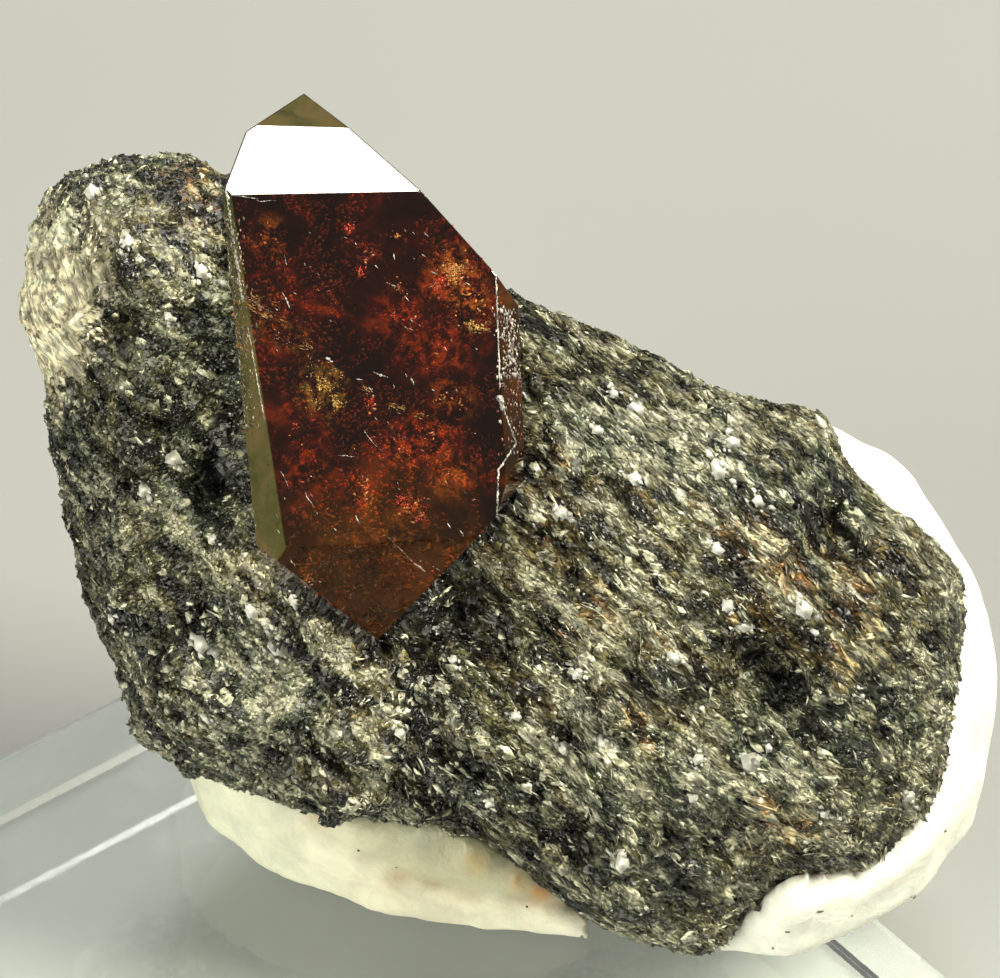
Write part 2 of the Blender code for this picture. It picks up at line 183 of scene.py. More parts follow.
# Glows of light in inner cracks of the zircon, painted into its colour and its flecks, as (x, y,
# reach, depth, flecks, tint).
GLOWS = [
    (-1.55, 9.8, 0.62, 0.5, 130, ORANGE), (-1.5, 9.85, 0.36, 0.3, 60, GOLD),
    (-1.1, 9.15, 0.4, 0.5, 40, ORANGE), (-2.1, 9.4, 0.4, 0.8, 40, RED),
    (-0.78, 8.03, 0.32, 0.2, 100, GOLD), (-5.15, 11.3, 0.2, 0.5, 40, HOT),
    (-8.15, 8.35, 0.5, 0.4, 60, DULL), (-7.2, 7.6, 0.45, 0.4, 60, DULL),
    (-6.3, 6.95, 0.35, 0.4, 40, DULL), (-0.85, 8.6, 0.4, 0.4, 30, ORANGE),
    (-1.62, 9.95, 0.3, 0.15, 110, ORANGE), (-2.05, 9.45, 0.26, 0.2, 60, HOT),
    (-2.85, 1.7, 0.34, 0.2, 90, HOT), (-3.35, 2.05, 0.34, 0.2, 60, HOT),
    (-3.4, 8.25, 0.3, 0.5, 50, HOT), (-4.74, 9.81, 0.18, 0.5, 24, HOT),
    (-4.4, 5.36, 0.18, 0.5, 24, HOT), (-7.03, 4.53, 0.16, 0.5, 16, HOT),
    (-3.7, 3.95, 0.3, 0.6, 40, HOT), (-1.49, 8.41, 0.25, 0.4, 40, ORANGE),
    (-7.8, 11.0, 0.4, 0.9, 22, ORANGE), (-3.3, 8.35, 0.6, 1.2, 44, RED),
    (-5.5, 9.0, 0.3, 1.2, 16, RED), (-3.4, 10.9, 0.3, 0.7, 14, ORANGE),
    (-3.45, 9.3, 0.25, 0.6, 12, ORANGE), (-4.6, 10.2, 0.35, 1.3, 18, RED),
    (-6.0, 5.75, 0.48, 0.15, 230, GOLD), (-5.6, 5.35, 0.3, 0.2, 60, GOLD),
    (-7.1, 4.5, 0.25, 1.0, 12, RED), (-3.6, 3.8, 0.55, 1.2, 40, RED),
    (-4.3, 5.2, 0.35, 0.9, 18, RED), (-1.65, 5.4, 0.45, 0.7, 26, ORANGE),
    (-2.4, 4.3, 0.6, 1.4, 24, RED), (-3.05, 1.75, 0.42, 0.3, 70, ORANGE),
    (-4.6, 2.35, 0.5, 0.8, 44, RED), (-6.5, 2.9, 0.6, 1.5, 26, RED),
    (-1.6, 2.9, 0.5, 1.1, 22, ORANGE), (-5.3, -0.35, 0.9, 0.8, 60, DULL),
    (-6.45, -0.7, 0.22, 0.3, 24, ORANGE), (-3.6, 0.4, 0.7, 0.9, 34, DULL),
    (-2.0, 7.0, 0.7, 1.5, 26, RED),
]
# The healed crack across the front, and the white of scratches and nicks, the nicks partly painted
# edge highlights.
CRACK = [(-8.6, 9.0), (-7.0, 7.6), (-5.3, 6.2), (-3.4, 5.2), (-1.6, 4.5)]
CRACK_GOLD = np.array((0.62, 0.33, 0.10))
WHITE = (0.88, 0.85, 0.76)
# Scratches on its front, as (x, y, slope in degrees, length, width).
SCRATCHES = [
    (-7.22, 8.86, -67, 0.6, 0.05), (-8.05, 8.62, -30, 0.8, 0.045), (-5.76, 6.82, -30, 0.25, 0.09),
    (-4.04, 6.31, -18, 0.5, 0.08), (-2.96, 6.12, -70, 0.28, 0.07), (-4.36, 4.15, -52, 0.76, 0.045),
    (-5.19, 3.57, -5, 0.5, 0.04), (-7.26, 2.75, -65, 0.6, 0.06), (-3.3, 0.35, -45, 1.6, 0.03),
    (-2.72, -0.2, -40, 0.45, 0.06), (-4.8, 1.41, -60, 0.32, 0.07), (-2.5, 11.07, -60, 0.2, 0.06),
    (-8.6, 12.28, -10, 0.9, 0.045), (-7.9, 12.18, -2, 0.6, 0.035), (-7.0, -0.05, -60, 0.3, 0.05),
    (-6.45, 2.1, -62, 0.55, 0.04), (-3.65, 9.35, -15, 0.35, 0.06), (-7.25, 10.2, -80, 0.35, 0.045),
]
# Worn edges with white chips, and white lines along edges as painted highlights, as (line on the
# face, nicks, half width, stretch).
CHIPS_AND_EDGE_HIGHLIGHTS = [
    ([(-9.24, 12.5), (-8.98, 10.8), (-8.68, 8.8)], 190, 0.034, 2.2),
    ([(-8.5, 7.9), (-8.2, 6.2), (-7.93, 4.7)], 120, 0.015, 6.0),
    ([(-2.75, 12.6), (-1.5, 11.3), (-0.25, 9.9)], 150, 0.012, 6.0),
    ([(-0.14, 9.7), (0.0, 5.9)], 230, 0.016, 6.0), ([(-0.05, 5.6), (0.1, 5.2)], 40, 0.07, 1.2),
    ([(0.14, 5.1), (0.55, 4.0), (-0.05, 3.1), (-0.1, 1.6)], 260, 0.02, 3.5),
]
# Mica left on the sides of the zircon, as (line on the face, spread, flakes, tint).
MICA_ON_SIDES = [
    ([(-9.3, 11.6), (-9.05, 8.0), (-8.75, 4.4)], 0.26, 1500, (0.26, 0.19, 0.09)),
    ([(-9.1, 8.0), (-8.95, 4.6), (-8.75, 2.4), (-8.45, 1.0)], 0.1, 700, (0.38, 0.29, 0.13)),
    ([(0.2, 8.6), (0.4, 7.2), (0.5, 6.2)], 0.2, 260, (0.85, 0.78, 0.7)),
    ([(0.35, 6.4), (0.5, 5.2), (0.5, 3.6)], 0.24, 150, (0.34, 0.14, 0.1)),
]
# Colours of the zircon's clouds, as (place on the ramp, colour).
RED_CLOUDS = [
    (0.38, (0.014, 0.007, 0.006)), (0.52, (0.036, 0.01, 0.007)), (0.59, (0.085, 0.014, 0.007)),
    (0.67, (0.3, 0.04, 0.01)), (0.79, (0.85, 0.2, 0.04)),
]
TIP_CLOUDS = [
    (0.36, (0.036, 0.034, 0.009)), (0.5, (0.085, 0.072, 0.018)), (0.66, (0.13, 0.085, 0.03)),
]
# Clouds of the zircon's left faces: a painted olive reflection.
OLIVE_SHEEN_CLOUDS = [
    (0.36, (0.05, 0.06, 0.014)), (0.5, (0.11, 0.105, 0.025)), (0.66, (0.2, 0.14, 0.05)),
]
BROWN_CLOUDS = [
    (0.36, (0.04, 0.02, 0.005)), (0.5, (0.12, 0.045, 0.007)), (0.64, (0.3, 0.1, 0.014)),
]
# Steps of the flecks in its clouds, from dark wine to yellow.
FLECK_STEPS = np.array([
    (0.16, 0.030, 0.018), (0.55, 0.085, 0.030), (0.90, 0.30, 0.07), (1.0, 0.66, 0.20),
])
# Where the foot of the zircon turns brown, as (x, y, reach).
FOOT_GLOW = (-4.2, -0.6, 3.6)
# Looks of the zircon, as (name, clouds, clearness, gloss, IOR). The first has the glows. The olive
# look's clouds and gloss and the tip look's gloss are a painted olive reflection.
ZIRCON_LOOKS = [
    ("red_zircon", RED_CLOUDS, 0.84, (0.75, 0.62, 0.55), ZIRCON_IOR),
    ("olive_sheen_zircon", OLIVE_SHEEN_CLOUDS, 0.45, (0.40, 0.40, 0.16), ZIRCON_IOR),
    ("brown_zircon", BROWN_CLOUDS, 0.84, (0.16, 0.08, 0.03), FOOT_IOR),
    ("tip_zircon", TIP_CLOUDS, 0.45, (0.40, 0.36, 0.20), ZIRCON_IOR),
]
# Its sides with another look than the first, as (direction, least likeness, look).
ZIRCON_SIDES = [
    ((-1, -0.06, 0.55), 0.86, 1), ((0.07, 0.87, 0.49), 0.99, 3),
    ((0.1, -0.74, 0.67), 0.93, 2), ((0.85, 0, 0.53), 0.93, 2),
]
# The crease of the putty, and its stains as (x, y, reach, strength, colour).
PUTTY_CREASE = [
    (-5.8, -9.8), (-4.3, -10.5), (-3.0, -11.1), (-1.8, -11.4), (0.1, -11.8), (1.8, -12.0),
]
PUTTY_STAINS = [
    (-6.5, -8.8, 0.4, 0.7, (0.6, 0.36, 0.16)), (-0.9, -10.5, 0.45, 0.6, (0.55, 0.38, 0.14)),
    (0.6, -11.0, 0.35, 0.7, (0.5, 0.3, 0.1)), (1.4, -11.5, 0.4, 0.7, (0.5, 0.27, 0.1)),
    (-2.8, -9.8, 0.6, 0.4, (0.3, 0.31, 0.22)), (-4.2, -10.2, 0.25, 0.9, (0.1, 0.11, 0.08)),
    (-3.4, -10.9, 0.45, 0.6, (0.42, 0.26, 0.13)),
]
PUTTY_CRUMBS = [(15.4, -9.4), (11.0, -12.1), (9.9, -12.8), (14.3, -11.7)]


# ---- Places on the face, and noise ----


def face_point(x, y, z=0.0):
    """A point given in millimetres in the frame of the display face, in metres."""
    return (FACE @ Vector((x, y, z))) * MM


def face_direction(x, y, z):
    return (FACE.to_3x3() @ Vector((x, y, z))).normalized()


def sheet_axes():
    """Rotation from the frame of the face to the mica: z square to the sheets."""
    normal = Vector((
        -math.sin(SHEET_RUN) * math.cos(SHEET_DIP),
        math.cos(SHEET_RUN) * math.cos(SHEET_DIP),
        math.sin(SHEET_DIP),
    ))
    run = Vector((math.cos(SHEET_RUN), math.sin(SHEET_RUN), 0.0))
    return Matrix((run, normal.cross(run), normal))


VIEWER = face_direction(0, 0, 1)
TO_VIEWER = np.array(VIEWER)
SHEET_AXES = np.array(sheet_axes())
SHEET_TURN = sheet_axes() @ FACE_TURN


def to_face(points):
    """Frame coordinates in metres to millimetres in the frame of the face."""
    turn = np.array(FACE_TURN)
    return (points / MM - np.array(FACE_AT)) @ turn.T


def noise_at(points, stretch, seed=0.0):
    """Smooth noise, about -1 to 1, at points in millimetres."""
    spread = points * np.array(stretch) + seed
    return np.array([noise.noise(Vector(point)) for point in spread])


def ripple(x, y, z, scale=1.0):
    return noise.noise(Vector((x, y, z)) * scale)


def ease(values, low, high):
    """0 at low, 1 at high and soft between them. Low may be the larger of the two."""
    share = ((values - low) / (high - low)).clip(0, 1)
    return share * share * (3 - 2 * share)


def blend(share, first, second):
    share = np.clip(share, 0, 1)[:, None]
    return first * (1 - share) + second * share


def round_spot(place, x, y, reach):
    """1 at the middle of a round spot on the face, fading to 0 beyond its reach."""
    return np.exp(-(((place[:, 0] - x) ** 2 + (place[:, 1] - y) ** 2) / reach ** 2))


def oval(place, x, y, wide, high, power=2):
    """The same for an oval, with a flatter middle where the power is higher."""
    return np.exp(-((place[:, 0] - x) / wide) ** power - ((place[:, 1] - y) / high) ** power)


def nearness(place, spots):
    """How near each place on the face is to the nearest of the spots: 1 at its middle."""
    near = np.zeros(len(place))
    for spot in spots:
        near = np.maximum(near, round_spot(place, *spot))
    return np.where(place[:, 2] > 0, near, 0.0)


def frayed(place):
    """Places shifted a little by noise, so that round spots get torn outlines."""
    shifted = place.copy()
    shifted[:, 0] += 0.75 * noise_at(place, 0.9, seed=11.0) + 0.3 * noise_at(place, 2.6, seed=5.0)
    shifted[:, 1] += 0.75 * noise_at(place, 0.9, seed=19.0) + 0.3 * noise_at(place, 2.6, seed=8.0)
    return shifted


def creaminess(place):
    """1 on the smooth cream flank of the rock, 0 away from it."""
    away = ((place[:, 0] - CREAM_AT[0]) / CREAM_REACH[0]) ** 2
    away = away + ((place[:, 1] - CREAM_AT[1]) / CREAM_REACH[1]) ** 2
    return np.exp(-away ** 2)


def in_band(place):
    """1 along the smooth olive band beside the cream flank, 0 away from it."""
    line = np.array(OLIVE_BAND)[::-1]
    away = place[:, 0] - np.interp(place[:, 1], line[:, 1], line[:, 0])
    inside = ease(place[:, 1], 6.2, 7.2) * ease(place[:, 1], 13.0, 12.0)
    return np.exp(-(away / BAND_REACH) ** 2) * inside * (place[:, 2] > -2)


def along_line(line, share):
    """Points along a broken line, for shares from 0 to its number of stretches."""
    line = np.array(line)
    ticks = np.arange(len(line))
    return np.interp(share, ticks, line[:, 0]), np.interp(share, ticks, line[:, 1])


# ---- Shader nodes ----


class Web:
    """A material's node tree, with short ways to add nodes to it."""

    def __init__(self, name):
        self.material = bpy.data.materials.new(name)
        self.material.use_nodes = True
        self.nodes = self.material.node_tree.nodes
        self.links = self.material.node_tree.links
        self.shader = self.nodes["Principled BSDF"]

    def feed(self, socket, value):
        if isinstance(value, bpy.types.NodeSocket):
            self.links.new(value, socket)
        elif isinstance(value, tuple) and socket.type == "RGBA":
            socket.default_value = (*value[:3], 1.0)
        else:
            socket.default_value = value

    def node(self, kind, settings, inputs):
        """A new node. Inputs are named or numbered, and hold a value or another's output."""
        made = self.nodes.new(kind)
        for key, value in settings.items():
            setattr(made, key, value)
        for key, value in inputs.items():
            self.feed(made.inputs[key], value)
        return made

    def times(self, a, b):
        return self.node("ShaderNodeMath", {"operation": "MULTIPLY"}, {0: a, 1: b}).outputs[0]

    def mix(self, share, a, b):
        inputs = {0: share, 6: a, 7: b}
        return self.node("ShaderNodeMix", {"data_type": "RGBA"}, inputs).outputs[2]

    def tint(self):
        """The colour painted on the mesh."""
        return self.node("ShaderNodeAttribute", {"attribute_name": "tint"}, {}).outputs["Color"]

    def dimmed(self, colour, share):
        inputs = {0: colour, "Scale": share}
        return self.node("ShaderNodeVectorMath", {"operation": "SCALE"}, inputs).outputs[0]

    def mapped(self, rotation, stretch=(1, 1, 1), shift=(0, 0, 0)):
        """Object coordinates in millimetres, turned, shifted, then stretched."""
        inputs = {"Vector": self.nodes.new("ShaderNodeTexCoord").outputs["Object"],
                  "Location": Vector(shift), "Rotation": rotation.to_euler("XYZ"),
                  "Scale": Vector((1, 1, 1)) / MM}
        first = self.node("ShaderNodeMapping", {}, inputs).outputs[0]
        inputs = {"Vector": first, "Scale": Vector(stretch)}
        return self.node("ShaderNodeMapping", {}, inputs).outputs[0]

    def noise(self, vector, scale, detail, roughness, distortion=0.0):
        inputs = {"Vector": vector, "Scale": scale, "Detail": detail, "Roughness": roughness,
                  "Distortion": distortion}
        return self.node("ShaderNodeTexNoise", {}, inputs).outputs["Fac"]

    def band(self, value, low, high, to_low=0.0, to_high=1.0):
        """A value mapped from one range to another, with soft ends."""
        inputs = {"Value": value, "From Min": low, "From Max": high, "To Min": to_low,
                  "To Max": to_high}
        kind = {"interpolation_type": "SMOOTHSTEP"}
        return self.node("ShaderNodeMapRange", kind, inputs).outputs[0]

    def ramp(self, value, stops):
        made = self.node("ShaderNodeValToRGB", {}, {"Fac": value})
        band = made.color_ramp
        while len(band.elements) < len(stops):
            band.elements.new(0.5)
        for element, (place, colour) in zip(band.elements, stops):
            element.position = place
            element.color = (*colour, 1.0)
        return made.outputs[0]

    def spot(self, vector, centre, radius, soft):
        """1 inside a ball round a point, fading to 0 at its edge."""
        inputs = {0: vector, 1: Vector(centre)}
        away = self.node("ShaderNodeVectorMath", {"operation": "DISTANCE"}, inputs)
        return self.band(away.outputs["Value"], radius * (1 - soft), radius * (1 + soft), 1, 0)

    def bump(self, height, strength, distance, normal=None):
        inputs = {"Height": height, "Strength": strength, "Distance": distance * MM}
        if normal is not None:
            inputs["Normal"] = normal
        return self.node("ShaderNodeBump", {}, inputs).outputs[0]

    def finish(self, inputs):
        for key, value in inputs.items():
            self.feed(self.shader.inputs[key], value)
        return self.material


# ---- Materials ----


def mica_material(name, streaks, relief, roughness, dims=(0.30, 1.35)):
    """Mica: its colour is painted on the mesh, and streaked along the sheets."""
    web = Web(name)
    streak = web.noise(web.mapped(SHEET_TURN, stretch=streaks), 3.2, 6, 0.64)
    return web.finish({
        "Base Color": web.dimmed(web.tint(), web.band(streak, 0.38, 0.64, *dims)),
        "Roughness": web.band(streak, 0.3, 0.7, *roughness),
        "Normal": web.bump(streak, 0.7, relief),
        "IOR": MICA_IOR,
    })


def flake_material():
    return mica_material("mica_flakes", (0.35, 1.0, 1.6), 0.03, (0.16, 0.38))


def zircon_material(name, stops, clearness, gloss, bending, glows=()):
    """Zircon: clouds of the given colours with any painted glows, clear by the given share, with
    tinted gloss.
    """
    web = Web(name)
    place = web.mapped(FACE_TURN, shift=FACE_SHIFT)
    growth = web.mapped(FACE_TURN, stretch=(1.0, 0.25, 1.0))
    lines = web.bump(web.noise(growth, 1.6, 5, 0.6), 0.12, 0.02)
    absorb = web.node("ShaderNodeVolumeAbsorption", {}, ABSORPTION)
    web.links.new(absorb.outputs[0], web.nodes["Material Output"].inputs["Volume"])
    cloud = web.noise(place, 0.55, 8, 0.66, 0.7)
    colour = web.ramp(cloud, stops)
    level = web.mapped(FACE_TURN, stretch=(1, 1, 0), shift=FACE_SHIFT)
    if glows:
        low = web.spot(level, (*FOOT_GLOW[:2], 0), FOOT_GLOW[2], 0.45)
        colour = web.mix(low, colour, web.ramp(cloud, BROWN_CLOUDS))
    patchy = web.band(web.noise(place, 2.2, 7, 0.75, 0.4), 0.46, 0.66)
    # Painted glows: spots of bright colour mixed into the zircon's clouds.
    for x, y, reach, glow in glows:
        lit = web.times(web.spot(level, (x, y, 0), reach, 0.9), patchy)
        colour = web.mix(lit, colour, glow)
    return web.finish({
        "Base Color": colour,
        "Roughness": web.band(web.noise(place, 2.0, 5, 0.7), 0.45, 0.75, 0.02, 0.10),
        "Normal": web.bump(web.noise(place, 3.0, 6, 0.7), 0.10, 0.01, lines),
        "Transmission Weight": clearness,
        "Specular Tint": gloss,
        "IOR": bending,
    })


def fleck_material():
    """Small cracks and grains inside the zircon that catch the light."""
    web = Web("zircon_flecks")
    grain = web.noise(web.mapped(FACE_TURN, shift=FACE_SHIFT), 5.0, 4, 0.6)
    share = web.band(grain, 0.35, 0.65, 0.0, 0.3)
    return web.finish({
        "Base Color": web.mix(share, web.tint(), (0.12, 0.03, 0.01)),
        "Roughness": web.band(grain, 0.3, 0.7, 0.25, 0.5),
        "Normal": web.bump(grain, 0.4, 0.03),
    })


def putty_material():
    """Putty: its colour is painted on the mesh, a little uneven, with soft prints."""
    web = Web("white_putty")
    place = web.mapped(FACE_TURN, shift=FACE_SHIFT)
    dim = web.band(web.noise(place, 0.6, 6, 0.65, 0.5), 0.3, 0.7, 0.84, 1.06)
    return web.finish({
        "Base Color": web.dimmed(web.tint(), dim),
        "Roughness": 0.55,
        "Normal": web.bump(web.noise(place, 1.1, 6, 0.6, 0.4), 0.5, 0.25),
        "Subsurface Weight": 0.15,
        "Subsurface Scale": 0.001,
    })


def acrylic_material():
    """Clear plastic with faint smears."""
    web = Web("clear_acrylic")
    place = web.mapped(Matrix.Rotation(-BASE_TURN, 3, "Z"))
    return web.finish({
        "Base Color": (0.95, 0.985, 0.97),
        "Roughness": web.band(web.noise(place, 0.25, 6, 0.65, 0.5), 0.45, 0.75, 0.01, 0.14),
        "Normal": web.bump(web.noise(place, 2.5, 5, 0.6), 0.05, 0.03),
        "Transmission Weight": 1.0,
        "IOR": ACRYLIC_IOR,
    })


def floor_material():
    web = Web("pale_floor")
    cloud = web.noise(web.mapped(Matrix.Identity(3)), 0.02, 3, 0.5)
    colour = web.mix(cloud, (0.235, 0.24, 0.235), (0.26, 0.265, 0.26))
    return web.finish({"Base Color": colour, "Roughness": 0.9})


# ---- Meshes ----


def new_piece(name, mesh, material, slot):
    obj = bpy.data.objects.new(name, mesh)
    bpy.context.scene.collection.objects.link(obj)
    mesh.materials.clear()
    mesh.materials.append(material)
    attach(obj, "root")
    return obj


def welded_copy(node):
    """The mesh of a CAD node with its split corners joined."""
    shape = bmesh.new()
    shape.from_mesh(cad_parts[node].data)
    bmesh.ops.remove_doubles(shape, verts=shape.verts, dist=1e-7)
    mesh = bpy.data.meshes.new(node + "_copy")
    shape.to_mesh(mesh)
    shape.free()
    return mesh


def voxel_mesh(mesh, voxel):
    """The mesh rebuilt as an even skin."""
    obj = bpy.data.objects.new("voxel_work", mesh)
    bpy.context.scene.collection.objects.link(obj)
    modifier = obj.modifiers.new("Even", "REMESH")
    modifier.mode = "VOXEL"
    modifier.voxel_size = voxel * MM
    graph = bpy.context.evaluated_depsgraph_get()
    made = bpy.data.meshes.new_from_object(obj.evaluated_get(graph))
    bpy.data.objects.remove(obj)
    return made


def mesh_tree(mesh):
    """A tree that finds the nearest place on a mesh, or where a line meets it."""
    return BVHTree.FromPolygons([v.co for v in mesh.vertices],
                                [p.vertices for p in mesh.polygons])


def seen(tree, x, y):
    """Where the viewer's line of sight over a place on the face meets a mesh, if it does."""
    return tree.ray_cast(face_point(x, y, SIGHT_START), -VIEWER)[:2]


def read(items, key, kind=float):
    """Rows of three numbers, one for each of the items of a mesh."""
    flat = np.empty(len(items) * 3, kind)
    items.foreach_get(key, flat)
    return flat.reshape(-1, 3)


def coordinates(mesh):
    return read(mesh.vertices, "co")


def vertex_normals(mesh):
    return read(mesh.vertex_normals, "vector")


def set_coordinates(mesh, points):
    mesh.vertices.foreach_set("co", points.astype(np.float32).ravel())
    mesh.update()


def soften(shape, corners, factor):
    bmesh.ops.smooth_vert(shape, verts=corners, factor=factor, use_axis_x=True,
                          use_axis_y=True, use_axis_z=True)


def smoothed(mesh, times):
    shape = bmesh.new()
    shape.from_mesh(mesh)
    for _ in range(times):
        soften(shape, shape.verts, 0.5)
    shape.to_mesh(mesh)
    shape.free()


def unfold(mesh, before):
    """Smooth a mesh where moving its points has folded faces over."""
    shape = bmesh.new()
    shape.from_mesh(mesh)
    shape.faces.ensure_lookup_table()
    for _ in range(12):
        shape.normal_update()
        folded = [face for face, old in zip(shape.faces, before)
                  if face.normal.dot(Vector(old)) < -0.05]
        corners = list({corner for face in folded for corner in face.verts})
        if not corners:
            break
        soften(shape, corners, 0.8)
    shape.to_mesh(mesh)
    shape.free()
    mesh.update()


def paint(mesh, domain, tint):
    """Keep a colour for each point or face of a mesh, as the attribute named tint."""
    colours = np.concatenate([tint, np.ones((len(tint), 1))], axis=1).astype(np.float32)
    mesh.attributes.new("tint", "FLOAT_COLOR", domain).data.foreach_set("color", colours.ravel())


def surface_samples(mesh, count, draw):
    """Points strewn evenly over a mesh, with the normals there."""
    mesh.calc_loop_triangles()
    a, b, c = (coordinates(mesh)[corners]
               for corners in read(mesh.loop_triangles, "vertices", np.int64).T)
    cross = np.cross(b - a, c - a)
    area = np.linalg.norm(cross, axis=1)
    chosen = draw.choice(len(area), count, p=area / area.sum())
    right, up = draw.random((2, count, 1))
    outside = (right + up) > 1
    right, up = np.where(outside, 1 - right, right), np.where(outside, 1 - up, up)
    a, b, c = a[chosen], b[chosen], c[chosen]
    return a + right * (b - a) + up * (c - a), cross[chosen] / area[chosen][:, None]


def unit(vectors):
    return vectors / np.linalg.norm(vectors, axis=1)[:, None]


def dots(first, second):
    return np.einsum("ij,ij->i", first, second)


def flake_piece(name, look, centres, normals, runs, size, stretch, thick, tint, draw):
    """One piece of closed five-sided flakes that taper below, each with its own colour."""
    count, sides = len(centres), 5
    along = unit(runs - normals * dots(runs, normals)[:, None])
    across = np.cross(normals, along)
    angles = (np.arange(sides) + draw.uniform(-0.32, 0.32, (count, sides))) * math.tau / sides
    angles += draw.uniform(0, math.tau, (count, 1))
    reach = draw.uniform(0.65, 1.1, (count, sides)) * size[:, None]
    flat = (np.cos(angles) * reach * stretch[:, None])[..., None] * along[:, None]
    flat = flat + (np.sin(angles) * reach)[..., None] * across[:, None]
    half = normals * np.reshape(thick, (-1, 1)) / 2
    tops = (centres + half)[:, None] + flat
    points = np.concatenate([tops, (centres - half)[:, None]], axis=1).reshape(-1, 3)
    ring = np.arange(sides)
    pattern = [ring] + [np.array([(i + 1) % sides, i, sides]) for i in ring]
    totals = np.tile([len(face) for face in pattern], count)
    loops = np.concatenate(pattern)[None] + (np.arange(count) * (sides + 1))[:, None]
    mesh = bpy.data.meshes.new(name)
    mesh.vertices.add(len(points))
    mesh.vertices.foreach_set("co", points.astype(np.float32).ravel())
    mesh.loops.add(loops.size)
    mesh.loops.foreach_set("vertex_index", loops.ravel().astype(np.int32))
    mesh.polygons.add(len(totals))
    starts = np.concatenate([[0], np.cumsum(totals)[:-1]])
    mesh.polygons.foreach_set("loop_start", starts.astype(np.int32))
    mesh.polygons.foreach_set("loop_total", totals.astype(np.int32))
    mesh.update(calc_edges=True)
    paint(mesh, "FACE", np.repeat(tint, len(pattern), axis=0))
    new_piece(name, mesh, *look)


def over_crystal(points):
    """Height over the zircon's nearest face, below 0 inside it, and that face's normal."""
    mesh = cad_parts["zircon_crystal"].data
    normals = read(mesh.polygons, "normal")
    heights = points @ normals.T - dots(normals, read(mesh.polygons, "center"))
    return heights.max(axis=1), normals[heights.argmax(axis=1)]


# ---- Rock ----


def mica_light(place, sheets, thread, draw):
    """How light the mica is: waves along the sheets, darker as painted shade where they crack open.
    """
    streak = noise_at(sheets, (0.35, 1.5, 1.5))
    patch = noise_at(sheets, (0.9, 1.7, 1.7), 9.1)
    broad = noise_at(place, 0.34, 7.3)
    grain = noise_at(sheets, (2.0, 4.2, 4.2), 13.0)
    waves = 2.6 * streak + 1.5 * thread + 2.5 * patch + 1.4 * broad + 1.2 * grain
    light = np.exp(-2.33 + waves + draw.normal(0, 0.22, len(place)))
    crack_shade = ease(noise_at(sheets, (0.55, 1.5, 1.5), 41.0), 0.22, 0.48)
    return light * (1 - 0.86 * crack_shade)


def mica_hue(place, sheets, light, rust):
    """Olive and grey-green mica with ochre streaks and rust, cream where it is light."""
    tint = blend(ease(noise_at(place, 0.26, 3.1), -0.15, 0.25), OLIVE, GREY_GREEN)
    wander = noise_at(sheets, (0.28, 0.96, 1.12), 5.5)
    right = oval(place, 7.0, -0.5, 7.0, 5.5)
    tint = blend(ease(wander, 0.02, 0.35) * (0.25 + 0.65 * right), tint, OCHRE)
    tint = blend(rust, tint, BROWN)
    tint = blend(ease(light, 0.16, 0.50) * (1 - 0.7 * rust), tint, CREAM)
    return tint * (light * (1 + 0.5 * rust))[:, None]


def sparks(sheets, chance, draw):
    """Which points get the painted glint colour: the given share of them, gathered in sparks."""
    spark = noise_at(sheets, (2.2, 3.6, 3.6), 27.0) + draw.normal(0, 0.10, len(sheets))
    rank = spark.argsort().argsort() / len(sheets)
    return rank > 1 - chance


def rock_tints(points, draw, glints=True):
    """Colour of the mica at each point, from where it lies and from chance, with painted light,
    shade and glints.
    """
    count = len(points)
    place = to_face(points)
    torn = frayed(place)
    sheets = place @ SHEET_AXES.T
    gap = over_crystal(points)[0] / MM
    pit_shade = nearness(torn, PITS)
    glint_spot = nearness(torn, GLINT_SPOTS)
    shaded_middle = oval(place, -1.0, -6.0, 5.0, 3.5)
    thread = noise_at(sheets, (0.9, 4.5, 4.5), 4.4)
    light = mica_light(place, sheets, thread, draw)
    # Painted shade in the pits, painted highlights at the glint spots, and lighter near the pale
    # places.
    light = light * (1 - 0.97 * pit_shade) * (1 + 1.3 * glint_spot) * (1 + 0.7 * nearness(place, PALE))
    # Painted light: the mica is lighter to the right and at the right rim. Painted shade: it is
    # darker in the lower middle.
    right, lit_rim = ease(place[:, 0], 0.0, 4.5), ease(place[:, 0], 10.5, 14.5)
    light = light * (1 + 0.95 * right + 1.5 * lit_rim - 0.60 * shaded_middle)
    # Painted shade: the mica darkens next to the zircon below its upper part, and its glints fade
    # there.
    light = light * (1 - 0.88 * ease(gap, 0.9, 0.15) * ease(place[:, 1], 4.5, 2.5))
    light = light.clip(0.003, 0.55)
    rust = (nearness(torn, RUST) * (0.55 + 1.4 * thread)).clip(0, 1) * (1 - pit_shade)
    tint = mica_hue(place, sheets, light, rust)
    creamy = (draw.random(count) < 2.0 * creaminess(torn))[:, None]
    mottle = 0.90 + 0.9 * noise_at(place, 1.3, 6.1) + 0.5 * noise_at(place, 3.4, 2.1)
    tint = np.where(creamy, FLANK_CREAM * mottle.clip(0.35, 1.08)[:, None], tint)
    tint = blend(0.85 * in_band(torn), tint, BAND_OLIVE)
    # Painted highlights: a pale glint colour on a share of the points, gathered in sparks.
    if glints:
        clump = ease(noise_at(sheets, (0.7, 1.0, 1.0), 2.2), 0.05, 0.45)
        chance = (0.02 + 0.14 * clump + 0.24 * glint_spot + 0.12 * shaded_middle) * (1 - pit_shade)
        glint = sparks(sheets, chance * ease(gap, 0.1, 0.8), draw)[:, None] & ~creamy
        tint = np.where(glint, GLINT * draw.uniform(0.6, 1.1, (count, 1)), tint)
    return tint.clip(0.003, 0.9)


